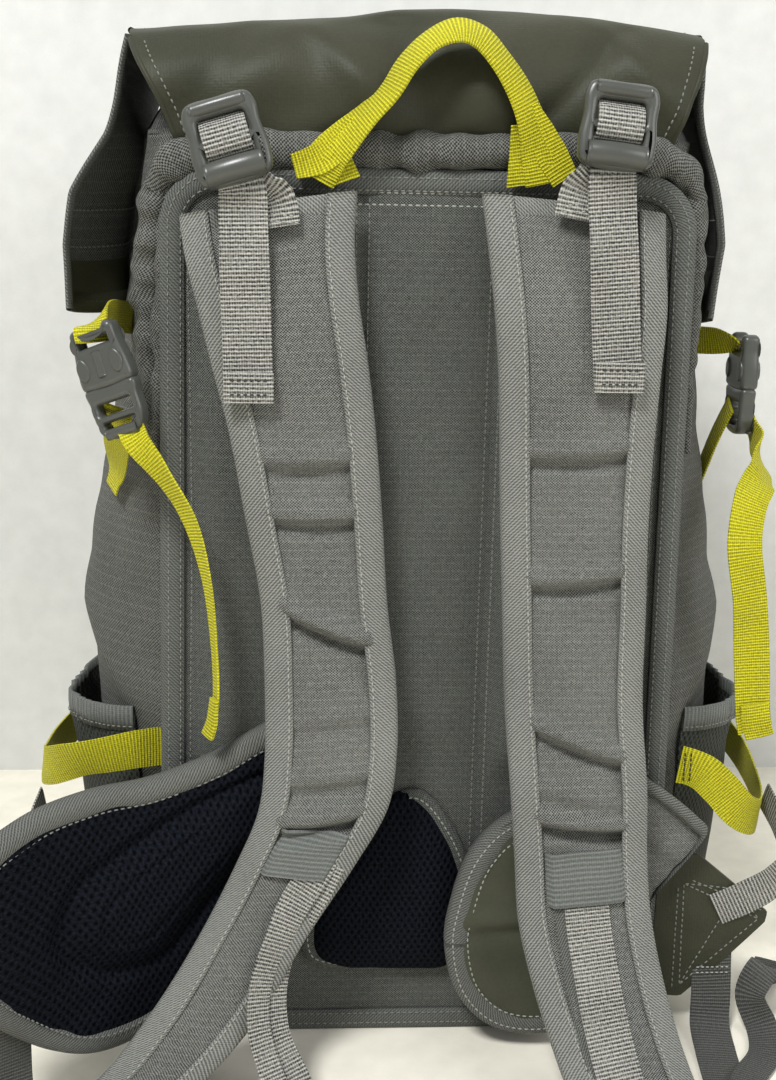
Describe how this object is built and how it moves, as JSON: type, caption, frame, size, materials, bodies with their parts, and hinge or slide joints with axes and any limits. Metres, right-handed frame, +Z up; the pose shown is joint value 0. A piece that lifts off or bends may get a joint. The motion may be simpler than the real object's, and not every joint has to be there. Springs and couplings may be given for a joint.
{
  "type": "hydration pack",
  "caption": "Hiking hydration pack with folding lid, padded back and shoulder straps, hip fins, mesh side pockets and an inner water reservoir in its sleeve.",
  "frame": {"origin": "middle of the base, on the face that the pack stands on", "axes": "+Z up along the pack's height, -Y towards the wearer's back (harness side), +X to the right of someone who looks at the harness"},
  "size_m": [0.4443, 0.3485, 0.5285],
  "materials": {
    "ripstop_grey": "matt woven ripstop",
    "panel_grey": "matt woven ripstop",
    "lid_olive": "coated, slight sheen",
    "lining_grey": "matt woven",
    "binding_twill": "twill tape",
    "spacer_mesh": "open spacer mesh",
    "pocket_mesh": "stretch mesh",
    "grey_webbing": "ribbed webbing",
    "dark_webbing": "ribbed webbing",
    "lime_webbing": "ribbed webbing",
    "grey_plastic": "moulded, semi-gloss",
    "frame_plastic": "smooth sheet",
    "stay_aluminium": "drawn bar",
    "bladder_film": "clear flexible film",
    "cap_blue": "moulded",
    "hook_loop": "hook and loop tape",
    "zip_tape": "woven zip tape with coil",
    "zip_metal": "enamelled"
  },
  "bodies": {
    "pack": {"aluminium_stay": "stay_aluminium", "back_lining": "lining_grey", "back_pads": "panel_grey", "back_panel": "panel_grey", "back_panel_binding": "binding_twill", "base_panel": "ripstop_grey", "belt_buckle_plug": "grey_plastic", "belt_webbing_right": "dark_webbing", "frame_sheet": "frame_plastic", "front_panel": "ripstop_grey", "front_pocket": "ripstop_grey", "hip_fin_bases": "spacer_mesh", "lid_back_panel": "lid_olive", "lid_loop_tape": "hook_loop", "lower_webbing": "grey_webbing", "lumbar_pad": "spacer_mesh", "pocket_zip": "zip_tape", "reservoir_hanger": "grey_webbing", "reservoir_sleeve": "lining_grey", "side_buckle_sockets": "grey_plastic", "side_panel_left": "ripstop_grey", "side_panel_right": "ripstop_grey", "side_pocket_left": "pocket_mesh", "side_pocket_right": "pocket_mesh", "side_webs": "lime_webbing", "stabiliser_wings": "panel_grey", "top_collar": "lining_grey", "wing_loops": "grey_webbing"},
    "lid": {"lid_front_skirt": "lid_olive", "lid_hook_tape": "hook_loop", "lid_skirt_left": "lid_olive", "lid_skirt_right": "lid_olive", "lid_top": "lid_olive"},
    "reservoir_body": {"hose_outlet": "cap_blue", "reservoir": "bladder_film"},
    "cap_body": {"reservoir_cap": "cap_blue"},
    "strap_left": {"lifter_anchor_left": "grey_webbing", "shoulder_strap_left": "ripstop_grey", "strap_keeper_left": "grey_webbing", "strap_tail_left": "grey_webbing"},
    "load_lifter_left": {"ladder_lock_left": "grey_plastic", "lifter_web_left": "grey_webbing"},
    "adjuster_left": {"strap_adjuster_left": "grey_plastic"},
    "side_plug_left": {"side_buckle_plug_left": "grey_plastic", "side_strap_tail_left": "lime_webbing"},
    "strap_right": {"lifter_anchor_right": "grey_webbing", "shoulder_strap_right": "ripstop_grey", "strap_keeper_right": "grey_webbing", "strap_tail_right": "grey_webbing"},
    "load_lifter_right": {"ladder_lock_right": "grey_plastic", "lifter_web_right": "grey_webbing"},
    "adjuster_right": {"strap_adjuster_right": "grey_plastic"},
    "side_plug_right": {"side_buckle_plug_right": "grey_plastic", "side_strap_tail_right": "lime_webbing"},
    "fin_left": {"belt_buckle_socket": "grey_plastic", "belt_webbing_left": "dark_webbing", "hip_fin_left": "spacer_mesh"},
    "fin_right": {"hip_fin_right": "lid_olive"},
    "handle": {"grab_handle": "lime_webbing"},
    "zip": {"zip_slider": "zip_metal"}
  },
  "joints": [
    {"name": "lid_fold", "type": "hinge", "parent": "pack", "child": "lid", "pos_m": [-0.006, -0.063, 0.5262], "axis": [1, 0, 0], "range_deg": [0, 105]},
    {"name": "strap_swing_left", "type": "hinge", "parent": "pack", "child": "strap_left", "pos_m": [-0.075, -0.092, 0.45], "axis": [-1, 0, 0], "range_deg": [0, 22]},
    {"name": "strap_swing_right", "type": "hinge", "parent": "pack", "child": "strap_right", "pos_m": [0.066, -0.092, 0.45], "axis": [-1, 0, 0], "range_deg": [0, 22]},
    {"name": "lifter_tilt_left", "type": "hinge", "parent": "strap_left", "child": "load_lifter_left", "pos_m": [-0.0886, -0.116, 0.4493], "axis": [-0.9563, 0, -0.2924], "range_deg": [0, 18]},
    {"name": "lifter_tilt_right", "type": "hinge", "parent": "strap_right", "child": "load_lifter_right", "pos_m": [0.0781, -0.116, 0.4586], "axis": [-0.9945, 0, 0.1045], "range_deg": [0, 18]},
    {"name": "adjuster_tilt_left", "type": "hinge", "parent": "strap_left", "child": "adjuster_left", "pos_m": [-0.1427, -0.1751, 0.0169], "axis": [-0.848, 0.53, 0], "range_deg": [0, 30]},
    {"name": "adjuster_tilt_right", "type": "hinge", "parent": "strap_right", "child": "adjuster_right", "pos_m": [0.107, -0.191, 0.0169], "axis": [-1, 0, 0], "range_deg": [0, 30]},
    {"name": "handle_swing", "type": "hinge", "parent": "pack", "child": "handle", "pos_m": [-0.004, -0.089, 0.4565], "axis": [1, 0, 0], "range_deg": [0, 80]},
    {"name": "fin_swing_left", "type": "hinge", "parent": "pack", "child": "fin_left", "pos_m": [-0.12, -0.1032, 0.095], "axis": [0, 0, -1], "range_deg": [0, 22]},
    {"name": "fin_swing_right", "type": "hinge", "parent": "pack", "child": "fin_right", "pos_m": [0.136, -0.098, 0.085], "axis": [0, 0, 1], "range_deg": [0, 5]},
    {"name": "side_release_left", "type": "slide", "parent": "pack", "child": "side_plug_left", "axis": [0.3099, -0.1445, -0.9397], "range_m": [0, 0.025]},
    {"name": "side_release_right", "type": "slide", "parent": "pack", "child": "side_plug_right", "axis": [0, 0, -1], "range_m": [0, 0.025]},
    {"name": "zip_run", "type": "slide", "parent": "pack", "child": "zip", "axis": [1, 0, 0], "range_m": [0, 0.155]},
    {"name": "reservoir_lift", "type": "slide", "parent": "pack", "child": "reservoir_body", "axis": [0, 0, 1], "range_m": [0, 0.075]},
    {"name": "cap_turn", "type": "hinge", "parent": "reservoir_body", "child": "cap_body", "pos_m": [0, -0.048, 0.34], "axis": [0, 1, 0], "range_deg": [0, 90]}
  ]
}
